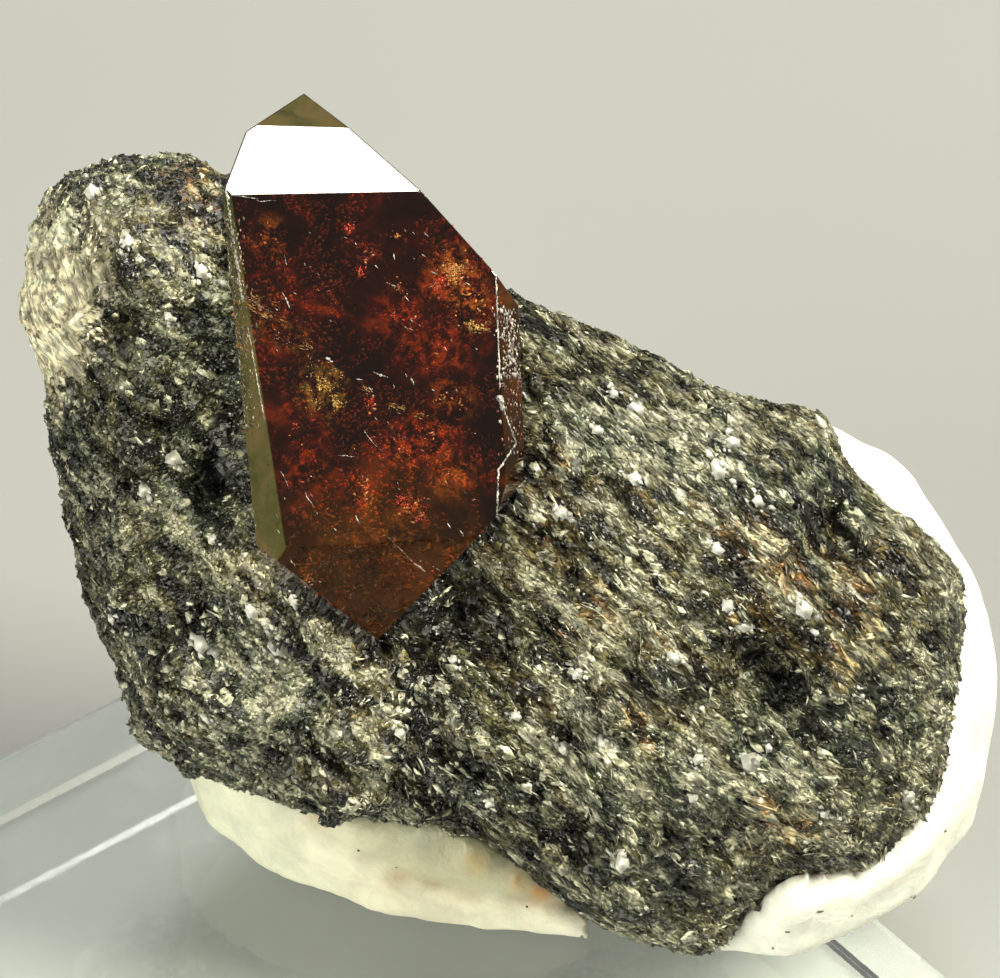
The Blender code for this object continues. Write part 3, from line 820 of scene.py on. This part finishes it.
def blunted(mesh):
    """Wear thin stubs down to STUB_HEIGHT over a broadly smoothed form."""
    sharp = coordinates(mesh)
    smoothed(mesh, BROAD_SMOOTHING)
    broad = coordinates(mesh)
    normals = vertex_normals(mesh)
    worn = (dots(sharp - broad, normals) - STUB_HEIGHT * MM).clip(0)
    set_coordinates(mesh, sharp - normals * worn[:, None])


def layered_points(mesh):
    """The points of the skin, lifted by its fine layers and sunk in its pits."""
    points = coordinates(mesh)
    sheets = (points / MM) @ np.array(SHEET_TURN).T
    lift = sum(height * noise_at(sheets, stretch) for height, stretch in LAYERS)
    sunk = PIT_DEPTH * nearness(frayed(to_face(points)), PITS)
    points = points + vertex_normals(mesh) * (lift * MM)[:, None]
    return points - TO_VIEWER * (sunk * MM)[:, None]


def skin_tints(points):
    """Colours of the skin: dim under the flakes and dark at the zircon as painted shade, full on
    the flank.
    """
    height = over_crystal(points)[0]
    # Painted shade: dimmed between the flakes, and near black where the skin meets the zircon.
    shade = 0.55 + 0.45 * creaminess(frayed(to_face(points)))
    shade = np.where(height < 0.2 * MM, 0.06, shade)
    return shade[:, None] * rock_tints(points, np.random.default_rng(3), False)


def rock_skin():
    """The rock with its fine layers, drawn up snugly round the crystal."""
    mesh = voxel_mesh(welded_copy("biotite_rock"), SKIN_VOXEL)
    smoothed(mesh, SKIN_SMOOTHING)
    blunted(mesh)
    points = layered_points(mesh)
    height, outward = over_crystal(points)
    hold = ease(height, HUG_START * MM, HUG_FULL * MM)
    points = points - outward * (hold * (height + HUG_DEPTH * MM))[:, None]
    points[:, 2] = np.maximum(points[:, 2], (BASE_THICK + ROCK_OVER_BASE) * MM)
    before = read(mesh.polygons, "normal")
    set_coordinates(mesh, points)
    unfold(mesh, before)
    paint(mesh, "POINT", skin_tints(coordinates(mesh)))
    material = mica_material("mica_layers", (0.30, 1.1, 2.0), 0.12, (0.26, 0.50))
    piece = new_piece("rock_skin", mesh, material, "biotite")
    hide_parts("biotite_rock")
    return piece


def in_putty(point, tree):
    """Whether a point is inside the putty or all but touches it."""
    hit, normal, _, away = tree.find_nearest(Vector(point), 0.6 * MM)
    return hit is not None and (away < 0.10 * MM or (Vector(point) - hit).dot(normal) < 0)


def flake_places(skin, putty_tree, draw):
    """Points, normals and places on the face for the flakes of one piece."""
    points, normals = surface_samples(skin.data, FLAKES_PER_SET * 2, draw)
    place = to_face(points)
    keep = over_crystal(points)[0] > 0.06 * MM
    keep &= np.array([not in_putty(point, putty_tree) for point in points])
    torn = frayed(place)
    bare = np.maximum(0.96 * (1.6 * creaminess(torn)).clip(0, 1), 0.9 * in_band(torn))
    keep &= draw.random(len(points)) > np.maximum(bare, 0.8 * nearness(torn, PITS))
    keep &= (normals @ TO_VIEWER > -0.1) | (draw.random(len(points)) < 0.6)
    return (rows[keep][:FLAKES_PER_SET] for rows in (points, normals, place))


def flake_turns(normals, place, order, draw):
    """Which way each flake runs and faces, and whether it stands on its edge."""
    count = len(normals)
    face_turn = np.array(FACE.to_3x3())
    sheet_run, _, sheet_normal = (face_turn @ axis for axis in SHEET_AXES)
    wild = draw.normal(size=(count, 3))
    runs = sheet_run + wild * (0.13 + 1.6 * (1 - order) ** 2)[:, None]
    along = unit(runs - normals * dots(runs, normals)[:, None])
    across = np.cross(normals, along)
    books = place @ SHEET_AXES.T
    roll = draw.normal(0, 0.27, count) + 0.60 * noise_at(books, (0.8, 1.8, 1.8), 33.0)
    pitch = draw.normal(0, 1, count) * (0.08 + 0.20 * (1 - order))
    pitch = pitch + 0.30 * noise_at(books, (0.9, 1.6, 1.6), 51.0)
    lying = unit(normals + across * roll[:, None] + along * pitch[:, None])
    layered = unit(sheet_normal + 0.14 * draw.normal(size=(count, 3)))
    facing = dots(layered, normals)
    standing = (draw.random(count) < 0.28) & (np.abs(facing) > 0.35)
    upright = layered * np.sign(facing)[:, None]
    return runs, np.where(standing[:, None], upright, lying), standing


def flake_sizes(steep, standing, order, draw):
    """Half the width of each flake in millimetres, and how much longer it is than wide."""
    count = len(order)
    size = np.exp(draw.normal(math.log(FLAKE_SIZE), 0.46, count)).clip(*FLAKE_RANGE)
    size = np.where(standing, np.minimum(size, STANDING_SIZE), size)
    stretch = 1 + (0.5 + draw.gamma(2.0, 0.55, count).clip(0, 3.0)) * order
    size = size * (1 - 0.14 * order)
    stretch = np.where(steep, np.minimum(stretch, 1.7), stretch)
    blade = (draw.random(count) < 0.32 * order) & ~standing & ~steep
    size = np.where(blade, draw.uniform(*BLADE_SIZE, count), size)
    stretch = np.where(blade, draw.uniform(6, 13, count), stretch)
    longest = blade & (draw.random(count) < 0.10)
    stretch = np.where(longest, draw.uniform(14, 30, count), stretch)
    return size, np.minimum(stretch, LONGEST_REACH / size)


def flake_set(skin, putty_tree, draw):
    """Where the flakes of one piece lie, how they lean, and how big they are."""
    points, normals, place = flake_places(skin, putty_tree, draw)
    # The sheets run evenly on the right of the face and are jumbled on the left.
    order = 1 / (1 + np.exp(-(place[:, 0] + 2.0) / 1.6))
    runs, leaning, standing = flake_turns(normals, place, order, draw)
    steep = normals @ TO_VIEWER < 0.55
    size, stretch = flake_sizes(steep, standing, order, draw)
    lift = np.where(standing, -0.02, draw.uniform(-0.02, 0.03, len(points)))
    thick = draw.uniform(*FLAKE_THICK, len(points))
    centres = points + normals * (lift * MM)[:, None]
    return centres, leaning, runs, size * MM, stretch, thick * MM


def add_flakes(skin, putty):
    draw = np.random.default_rng(7)
    look = (flake_material(), "biotite")
    putty_tree = mesh_tree(putty.data)
    for number in range(FLAKE_SETS):
        centres, leaning, runs, size, stretch, thick = flake_set(skin, putty_tree, draw)
        tint = rock_tints(centres, draw)
        size = size * (1 + 0.5 * ease(tint.mean(axis=1), 0.35, 0.75))
        flake_piece(f"mica_flakes_{number + 1}", look, centres, leaning, runs, size, stretch,
                    thick, tint, draw)


def bright_shards(tree, draw):
    """Each bright flake and its shards, as rows of place, size, stretch and spread."""
    cos, sin = math.cos(SHEET_RUN), math.sin(SHEET_RUN)
    rows = []
    for x, y, reach in BRIGHT_FLAKES:
        for shard in range(SHARDS):
            main = shard == 0
            long, wide = (0, 0) if main else draw.normal(0, 1, 2) * (1.0, 0.5) * reach
            right, up = x + long * cos - wide * sin, y + long * sin + wide * cos
            hit = seen(tree, right, up)[0]
            if hit is None or nearness(np.array([(right, up, 1.0)]), PITS)[0] > 0.35:
                continue
            lift = 0.15 if main else draw.uniform(0.06, 0.12)
            size = reach * (1.0 if main else draw.uniform(0.14, 0.50))
            stretch = draw.uniform(1.0, 1.3 if main else 2.0)
            rows.append((*(hit + VIEWER * lift * MM), size, stretch, 0.02 if main else 0.09))
    return np.array(rows)


def add_bright_flakes(skin):
    """The few bigger flakes that lie so that they mirror the key light at the viewer, painted pale
    as a highlight too.
    """
    draw = np.random.default_rng(11)
    rows = bright_shards(mesh_tree(skin.data), draw)
    rows = rows[over_crystal(rows[:, :3])[0] > 0.05 * MM]
    centres, size, stretch, spread = rows[:, :3], rows[:, 3] * MM, rows[:, 4], rows[:, 5:]
    count = len(rows)
    halfway = np.array((VIEWER + Vector(KEY_DIRECTION).normalized()).normalized())
    normals = unit(halfway + spread * draw.normal(size=(count, 3)))
    runs = np.array(face_direction(math.cos(SHEET_RUN), math.sin(SHEET_RUN), 0))
    runs = runs + 0.45 * draw.normal(size=(count, 3))
    # The main flakes are painted lightest, as painted highlight.
    dim = np.where(spread < 0.05, 1.12, draw.uniform(0.45, 1.08, (count, 1)))
    material = mica_material("mica_plates", (0.35, 1.0, 1.6), 0.006, (0.22, 0.34), (0.85, 1.08))
    flake_piece("bright_flakes", (material, "biotite"), centres, normals, runs, size, stretch,
                0.08 * MM, PAINTED_PLATE_HIGHLIGHT * dim, draw)


# ---- Putty ----


def above_crease(place):
    """How far each place on the face is above the crease of the putty, in millimetres."""
    line = np.array(PUTTY_CREASE)
    return place[:, 1] - np.interp(place[:, 0], line[:, 0], line[:, 1])


def putty_tints(points):
    """White putty, with painted shade: darker ivory at its left and lower left, darkest above its
    crease. It is darker brown along the crease, with brown smudges by it.
    """
    place = to_face(points)
    rise = above_crease(place)
    # Painted shade: darker ivory to the left and at the lower left, darkest just above the crease.
    low = oval(place, -1.0, -10.2, 5.2, 3.2, power=4)
    shaded_left = ease(place[:, 0], -2.0, -8.0)
    tint = blend(shaded_left, np.array((0.90, 0.90, 0.80)), np.array((0.70, 0.71, 0.55)))
    tint = blend(0.85 * low, tint, np.array((0.64, 0.60, 0.41)))
    tint = blend(0.75 * low * ease(rise, -0.1, 0.3), tint, np.array((0.42, 0.42, 0.27)))
    wander = 0.5 + 1.6 * noise_at(place, 0.9, 2.7)
    line = np.exp(-(rise / 0.20) ** 2) * low * wander
    tint = blend(0.8 * line, tint, np.array((0.30, 0.20, 0.11)))
    for x, y, reach, depth, colour in PUTTY_STAINS:
        stain = depth * round_spot(place, x, y, reach) * (0.5 + wander)
        tint = blend(stain, tint, np.array(colour))
    return tint.clip(0.02, 0.92)


def pressed(point, normal, rock, fine_rock):
    """A point of the putty with its soft lumps, or pushed into the rock it meets."""
    spot = Vector(point)
    lump = noise.noise(spot / MM * 0.45) * 0.20 + noise.noise(spot / MM * 1.3) * 0.07
    free = point + normal * lump * MM
    hit, _, _, away = rock.find_nearest(spot, PRESS_REACH * MM)
    if hit is None:
        return free
    facing = (hit - spot).dot(Vector(normal)) / max(away, 1e-9)
    near, outward, _, _ = fine_rock.find_nearest(spot)
    sunk = np.array(near - outward * PRESS_DEPTH * MM)
    close = ease(np.array(away), PRESS_REACH * MM, PRESS_FULL * MM)
    hold = float(ease(np.array(facing), 0.10, 0.60) * close)
    return free * (1 - hold) + sunk * hold


def creased_points(mesh):
    """The points of the putty, sunk along its crease where the viewer sees it."""
    points, normals = coordinates(mesh), vertex_normals(mesh)
    place = to_face(points)
    line = np.exp(-(above_crease(place) / CREASE_WIDTH) ** 2)
    line = line * (np.abs(place[:, 0] - CREASE_MIDDLE) < CREASE_HALF)
    shown = normals @ TO_VIEWER > 0.2
    return points - normals * (line * shown * CREASE_DEPTH * MM)[:, None]


def fine_putty(skin):
    """The putty, pressed right up to the rock and down on the base."""
    mesh = voxel_mesh(welded_copy("putty"), PUTTY_VOXEL)
    rock = mesh_tree(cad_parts["biotite_rock"].data)
    fine_rock = mesh_tree(skin.data)
    points = np.array([pressed(point, normal, rock, fine_rock)
                       for point, normal in zip(coordinates(mesh), vertex_normals(mesh))])
    foot = BASE_THICK + PUTTY_OVER_BASE
    height = points[:, 2] / MM - BASE_THICK
    low = height < FOOT_HEIGHT
    points[low, 2] = (foot + FOOT_HEIGHT * (height[low].clip(0) / FOOT_HEIGHT) ** 2) * MM
    set_coordinates(mesh, points)
    smoothed(mesh, PUTTY_SMOOTHING)
    points = creased_points(mesh)
    points[:, 2] = np.maximum(points[:, 2], foot * MM)
    set_coordinates(mesh, points)
    paint(mesh, "POINT", putty_tints(points))
    for face in mesh.polygons:
        face.use_smooth = True
    piece = new_piece("putty_lump", mesh, putty_material(), "putty")
    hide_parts("putty")
    return piece


def add_crumbs(putty):
    """Dark crumbs of mica pressed into the putty."""
    draw = np.random.default_rng(17)
    tree = mesh_tree(putty.data)
    centres, normals = [], []
    spots = [spot for spot in PUTTY_CRUMBS for _ in range(3)]
    spots += [(draw.uniform(-9, 16), draw.uniform(-13.5, -6)) for _ in range(CRUMBS_AT_RANDOM)]
    for x, y in spots:
        hit, normal = seen(tree, x + draw.normal(0, 0.06), y)
        if hit is not None:
            centres.append(np.array(hit))
            normals.append(np.array(normal) + draw.normal(0, 0.3, 3))
    count = len(centres)
    size = draw.uniform(0.025, 0.09, count) * MM
    tint = CRUMB * draw.uniform(0.4, 2.0, (count, 1))
    flake_piece("mica_crumbs", (flake_material(), "biotite"), np.array(centres),
                unit(np.array(normals)), draw.normal(size=(count, 3)), size,
                draw.uniform(1, 2, count), 0.05 * MM, tint, draw)


# ---- Zircon ----


def worn_crystal():
    """The mesh of the zircon with its edges a little rounded."""
    shape = bmesh.new()
    shape.from_mesh(welded_copy("zircon_crystal"))
    bmesh.ops.dissolve_limit(shape, angle_limit=math.radians(1), verts=shape.verts,
                             edges=shape.edges)
    sharp = [edge for edge in shape.edges if edge.calc_face_angle(0) > math.radians(4)]
    bmesh.ops.bevel(shape, geom=sharp, offset=EDGE_WEAR * MM, segments=2, profile=0.6,
                    affect="EDGES")
    bmesh.ops.triangulate(shape, faces=shape.faces)
    mesh = bpy.data.meshes.new("zircon_body")
    shape.to_mesh(mesh)
    shape.free()
    return mesh


def fine_crystal():
    """The zircon, with a look of its own for each of its sides."""
    mesh = worn_crystal()
    glows = [(x, y, reach * GLOW_SPREAD, GLOW_COLOURS[tint])
             for x, y, reach, _, _, tint in GLOWS if reach > WIDE_GLOW]
    red = zircon_material(*ZIRCON_LOOKS[0], glows)
    piece = new_piece("zircon_body", mesh, red, "zircon")
    for look in ZIRCON_LOOKS[1:]:
        mesh.materials.append(zircon_material(*look))
    piece.visible_shadow = False
    for face in mesh.polygons:
        for direction, likeness, look in ZIRCON_SIDES:
            if face.normal.dot(face_direction(*direction)) > likeness:
                face.material_index = look
                break
    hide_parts("zircon_crystal")
    return piece


class CrystalFlakes:
    """Flakes gathered on and under the faces of the zircon that the viewer sees."""

    def __init__(self, crystal, seed):
        self.tree = mesh_tree(crystal.data)
        self.draw = np.random.default_rng(seed)
        self.rows = []

    def sink(self, x, y, depth, normal, size, tint, run, long):
        """Add a flake below a face."""
        spot, _ = seen(self.tree, x, y)
        if spot is not None:
            centre = np.array(spot - VIEWER * depth * MM)
            self.rows.append((centre, normal, run, size, long, tint))

    def lay(self, x, y, run, size, long, tint):
        """Add a flake on a face, a little askew and of chance brightness."""
        spot, normal = seen(self.tree, x, y)
        if spot is not None:
            askew = np.array(normal) + self.draw.normal(0, 0.2, 3)
            shade = np.array(tint) * self.draw.uniform(0.5, 1.05)
            run = np.array(face_direction(*run, 0))
            self.rows.append((np.array(spot), askew, run, size, long, shade))

    def finish(self, name, material):
        centres, normals, runs, sizes, stretch, tints = map(np.array, zip(*self.rows))
        flake_piece(name, (material, "zircon"), centres, unit(normals), runs, sizes * MM,
                    stretch, FLECK_THICK * MM, tints, self.draw)


def fleck_tint(tone):
    """A colour between FLECK_STEPS, for a tone from 0 to 1."""
    place = min(max(tone, 0.0), 0.999) * (len(FLECK_STEPS) - 1)
    low = int(place)
    return FLECK_STEPS[low] + (FLECK_STEPS[low + 1] - FLECK_STEPS[low]) * (place - low)


def add_glow_flecks(flakes):
    """Flecks of the painted glows, brighter towards each glow's middle, some flush with the face
    and the others just under it.
    """
    draw = flakes.draw
    for x, y, reach, depth, count, tint in GLOWS:
        for _ in range(count * 3):
            across, up = draw.normal(0, 0.72, 2) * reach
            if ripple(x + across, y + up, 3.0, 2.6) < draw.uniform(-0.25, 0.15):
                continue
            across += 0.7 * reach * ripple(x + across, y + up, 7.0, 1.5)
            normal = TO_VIEWER + draw.normal(0, 0.45, 3)
            # Painted glow: flecks are brighter towards the glow's middle.
            near = math.exp(-(across ** 2 + up ** 2) / reach ** 2)
            shade = np.array(tint) * draw.uniform(0.3, 1.0) * (0.25 + 0.75 * near)
            flush = draw.random() < ON_SURFACE[tint] * near
            sunk = 0.0 if flush else 0.02 + 0.12 * depth * draw.random()
            flakes.sink(x + across, y + up, sunk, normal, draw.uniform(0.015, 0.06), shade,
                        draw.normal(size=3), draw.uniform(1, 2.5))


def add_cloud_flecks(flakes):
    """Flecks strewn through the crystal in red clouds, and brown ones in its foot."""
    draw = flakes.draw
    for _ in range(CLOUD_FLECKS):
        x, y, depth = draw.uniform(-9, -0.1), draw.uniform(-2.3, 12.4), draw.uniform(0.05, 0.8)
        cloud = ripple(x, y, 4.0, 0.42)
        curl = ripple(x, y, 9.0, 1.1)
        wisp = ripple(x * 0.8 + y * 0.5, y * 0.8 - x * 0.5, 2.0, 2.2)
        tone = 0.30 + 0.62 * cloud + 0.45 * curl + 0.42 * wisp
        if tone < draw.uniform(0.02, 0.42):
            continue
        normal = TO_VIEWER + draw.normal(0, 0.5, 3)
        shade = fleck_tint(tone * draw.uniform(0.6, 1.1)) * draw.uniform(0.5, 1.0)
        flakes.sink(x, y, depth, normal, draw.uniform(0.02, 0.075), shade,
                    draw.normal(size=3), draw.uniform(1, 3))
    for _ in range(FOOT_FLECKS):
        x, y = draw.normal(-4.6, 1.7), draw.uniform(-2.5, 1.6)
        normal = TO_VIEWER + draw.normal(0, 0.3, 3)
        share = np.array([0.5 + 1.2 * ripple(x, y, 5.0)])
        shade = blend(share, np.array((0.62, 0.22, 0.05)), np.array((0.42, 0.30, 0.09)))[0]
        shade = shade * draw.uniform(0.15, 0.5)
        flakes.sink(x, y, draw.uniform(0.04, 0.4), normal, draw.uniform(0.025, 0.08), shade,
                    draw.normal(size=3), draw.uniform(1, 3))


def add_crack_flecks(flakes):
    """Gold flecks along the healed crack, wider spread at its left end."""
    draw = flakes.draw
    share = np.linspace(0, 1, CRACK_FLECKS) ** 1.35 * (len(CRACK) - 1)
    tilt = np.array(face_direction(0.45, 0.75, 0.5))
    run = np.array(face_direction(0.8, -0.6, 0))
    for x, y in zip(*along_line(CRACK, share)):
        waver = 0.22 * ripple(x * 0.9, 0.0, 1.0)
        side, shift = draw.normal(0, 1, 2) * (0.06 + 0.06 * max(0.0, -5.5 - x))
        if ripple(x + shift, y + side, 6.0, 2.4) < draw.uniform(-0.15, 0.35):
            continue
        shade = CRACK_GOLD * draw.uniform(0.15, 1.0)
        sunk = max(0.0, draw.uniform(-0.03, 0.12))
        flakes.sink(x + shift, y + side + waver, sunk, tilt + draw.normal(0, 0.35, 3),
                    draw.uniform(0.015, 0.055), shade, run, draw.uniform(1, 3))


def add_nicks_and_edge_highlights(flakes):
    """White nicks along the worn edges, partly chips and partly painted edge highlights, and mica
    left on the sides.
    """
    draw = flakes.draw
    for line, count, size, long in CHIPS_AND_EDGE_HIGHLIGHTS:
        share = draw.uniform(0, len(line) - 1, count)
        for x, y, part in zip(*along_line(line, share), share):
            start = min(int(part), len(line) - 2)
            run = np.array(line[start + 1]) - np.array(line[start])
            across, up = draw.normal(0, size * 0.6, 2)
            flakes.lay(x + across, y + up, run, size * draw.uniform(0.4, 1.4), long, WHITE)
    for line, spread, count, tint in MICA_ON_SIDES:
        share = draw.uniform(0, len(line) - 1, count)
        for x, y in zip(*along_line(line, share)):
            grain = WHITE if draw.random() < 0.16 else tint
            flakes.lay(x + draw.normal(0, spread), y, (0.1, -1.0), draw.uniform(0.02, 0.055),
                       draw.uniform(1.0, 3.0), grain)


def add_scratches(flakes):
    """The scratches of the photo, and fine ones of the same slope."""
    draw = flakes.draw
    for x, y, degrees, length, width in SCRATCHES:
        slope = math.radians(degrees)
        run = np.array((math.cos(slope), math.sin(slope)))
        for share in np.linspace(-0.5, 0.5, 4 + int(length / 0.06)):
            bend = 0.05 * ripple(x, y, share * 2.0)
            spot = np.array((x, y)) + run * share * length + bend * run[::-1] * (1, -1)
            size = 0.5 * width * (1.2 - 1.4 * abs(share)) * draw.uniform(0.3, 1.2)
            flakes.lay(*spot, run, size, draw.uniform(1.0, 2.2), WHITE)
    for _ in range(FINE_SCRATCHES):
        x, y = draw.uniform(-8, -0.8), draw.uniform(-1.5, 11.5)
        slope = math.radians(draw.normal(-50, 20))
        flakes.lay(x, y, (math.cos(slope), math.sin(slope)), draw.uniform(0.008, 0.018),
                   draw.uniform(3, 12), WHITE)


def add_crystal_flakes(crystal):
    """Flecks inside the crystal with painted glows, and nicks, painted edge highlights and
    scratches on it.
    """
    flecks = CrystalFlakes(crystal, 23)
    add_glow_flecks(flecks)
    add_cloud_flecks(flecks)
    add_crack_flecks(flecks)
    flecks.finish("zircon_flecks", fleck_material())
    nicks = CrystalFlakes(crystal, 31)
    add_nicks_and_edge_highlights(nicks)
    add_scratches(nicks)
    nicks.finish("crystal_nicks_and_edge_highlights", flake_material())


# ---- Studio ----


def add_floor():
    mesh = bpy.data.meshes.new("floor")
    corners = [(-1, -1), (1, -1), (1, 1), (-1, 1)]
    mesh.from_pydata([(x * FLOOR_REACH, y * FLOOR_REACH, 0) for x, y in corners], [],
                     [(0, 1, 2, 3)])
    mesh.materials.append(floor_material())
    floor = bpy.data.objects.new("floor", mesh)
    bpy.context.scene.collection.objects.link(floor)
    floor.location.z = -FLOOR_DROP


def aim(obj, target):
    obj.rotation_euler = (target - obj.location).to_track_quat("-Z", "Y").to_euler()


def add_light(name, direction, distance, size, power, colour):
    """A square soft box that looks at the rock."""
    lamp = bpy.data.lights.new(name, "AREA")
    lamp.energy = power
    lamp.size = size
    lamp.color = colour
    obj = bpy.data.objects.new(name, lamp)
    bpy.context.scene.collection.objects.link(obj)
    target = face_point(0, 2, 3)
    obj.location = target + Vector(direction).normalized() * distance
    aim(obj, target)


def mirror_direction():
    """Where the crystal's upper front face mirrors the viewer's line of sight."""
    turned = Matrix.Rotation(CRYSTAL_LEAN, 3, "Z") @ Vector((
        math.cos(TOP_FACE_RISE) * math.sin(TOP_FACE_TURN),
        math.sin(TOP_FACE_RISE),
        math.cos(TOP_FACE_RISE) * math.cos(TOP_FACE_TURN),
    ))
    viewer = Vector((0, 0, 1))
    return face_direction(*(2 * turned.dot(viewer) * turned - viewer))


def add_studio():
    add_light("rear_panel", mirror_direction(), 0.35, 0.10, 0.85, (1.0, 0.98, 0.94))
    add_light("back_card", (0.06, 0.97, 0.25), 0.30, 0.10, 0.007, (1.0, 0.92, 0.45))
    add_light("key_box", KEY_DIRECTION, 0.40, 0.18, 3.3, (1.0, 0.97, 0.80))
    add_light("front_fill", (-0.62, -0.66, 0.42), 0.50, 0.34, 2.5, (1.0, 0.985, 0.86))
    world = bpy.data.worlds.new("studio")
    bpy.context.scene.world = world
    world.use_nodes = True
    background = world.node_tree.nodes["Background"]
    background.inputs[0].default_value = SKY_COLOUR
    background.inputs[1].default_value = SKY_LIGHT
    bpy.context.scene.view_settings.view_transform = "Standard"


def add_camera():
    data = bpy.data.cameras.new("camera")
    camera = bpy.data.objects.new("camera", data)
    bpy.context.scene.collection.objects.link(camera)
    camera.location = face_point(VIEW_CENTRE.x, VIEW_CENTRE.y, VIEW_DISTANCE)
    aim(camera, face_point(*VIEW_CENTRE))
    data.sensor_width = 36.0
    data.lens = data.sensor_width * VIEW_DISTANCE / VIEW_WIDTH
    data.clip_start = 0.01
    data.clip_end = 10.0
    bpy.context.scene.camera = camera


def dress_base():
    """The clear plate keeps its own solid, with the look of acrylic."""
    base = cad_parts["acrylic_base"]
    base.data.materials.clear()
    base.data.materials.append(acrylic_material())
    for face in base.data.polygons:
        face.material_index = 0
    base.visible_shadow = False


add_camera()
add_floor()
add_studio()
dress_base()
skin = rock_skin()
putty = fine_putty(skin)
add_flakes(skin, putty)
add_bright_flakes(skin)
add_crumbs(putty)
add_crystal_flakes(fine_crystal())
